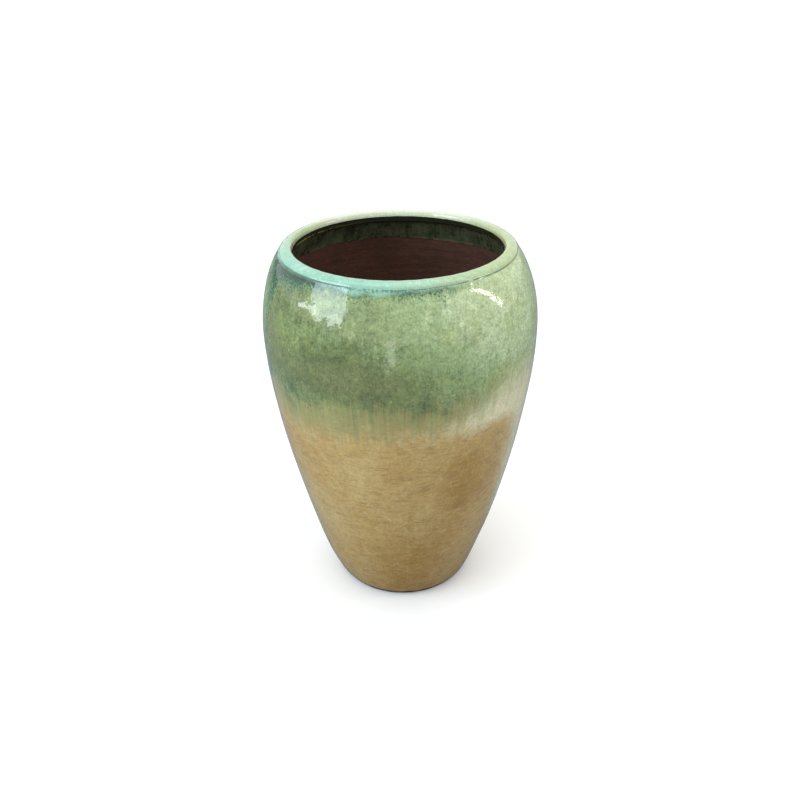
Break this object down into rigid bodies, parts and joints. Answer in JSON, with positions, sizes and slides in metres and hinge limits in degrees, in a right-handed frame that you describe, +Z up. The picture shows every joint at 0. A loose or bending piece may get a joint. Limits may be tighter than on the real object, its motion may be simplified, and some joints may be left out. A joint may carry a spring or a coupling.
{
  "type": "planter pot",
  "caption": "Tall egg-shaped terracotta planter jar with a rolled rim, run glaze outside, bare clay inside and a drain hole in its foot.",
  "frame": {"origin": "centre of the round resting face under the foot", "axes": "+Z up along the axis the jar is turned about; X and Y are level and alike, because the jar is round"},
  "size_m": [0.6013, 0.6014, 0.83],
  "materials": {
    "clay": "bare fired terracotta, matt and slightly gritty",
    "honey_glaze": "glossy honey glaze, run and speckled",
    "green_glaze": "glossy sage green glaze, breaking into drips at its lower edge",
    "rim_glaze": "thick glossy pale turquoise glaze",
    "inner_glaze": "glossy dark olive glaze"
  },
  "bodies": {
    "root": {"base_slab": "clay", "corner_coil": "clay", "lower_wall": "clay", "middle_wall": "clay", "shoulder_wall": "clay", "rim_coil": "clay", "honey_glaze": "honey_glaze", "green_glaze": "green_glaze", "rim_glaze": "rim_glaze", "inner_glaze": "inner_glaze"}
  },
  "joints": []
}
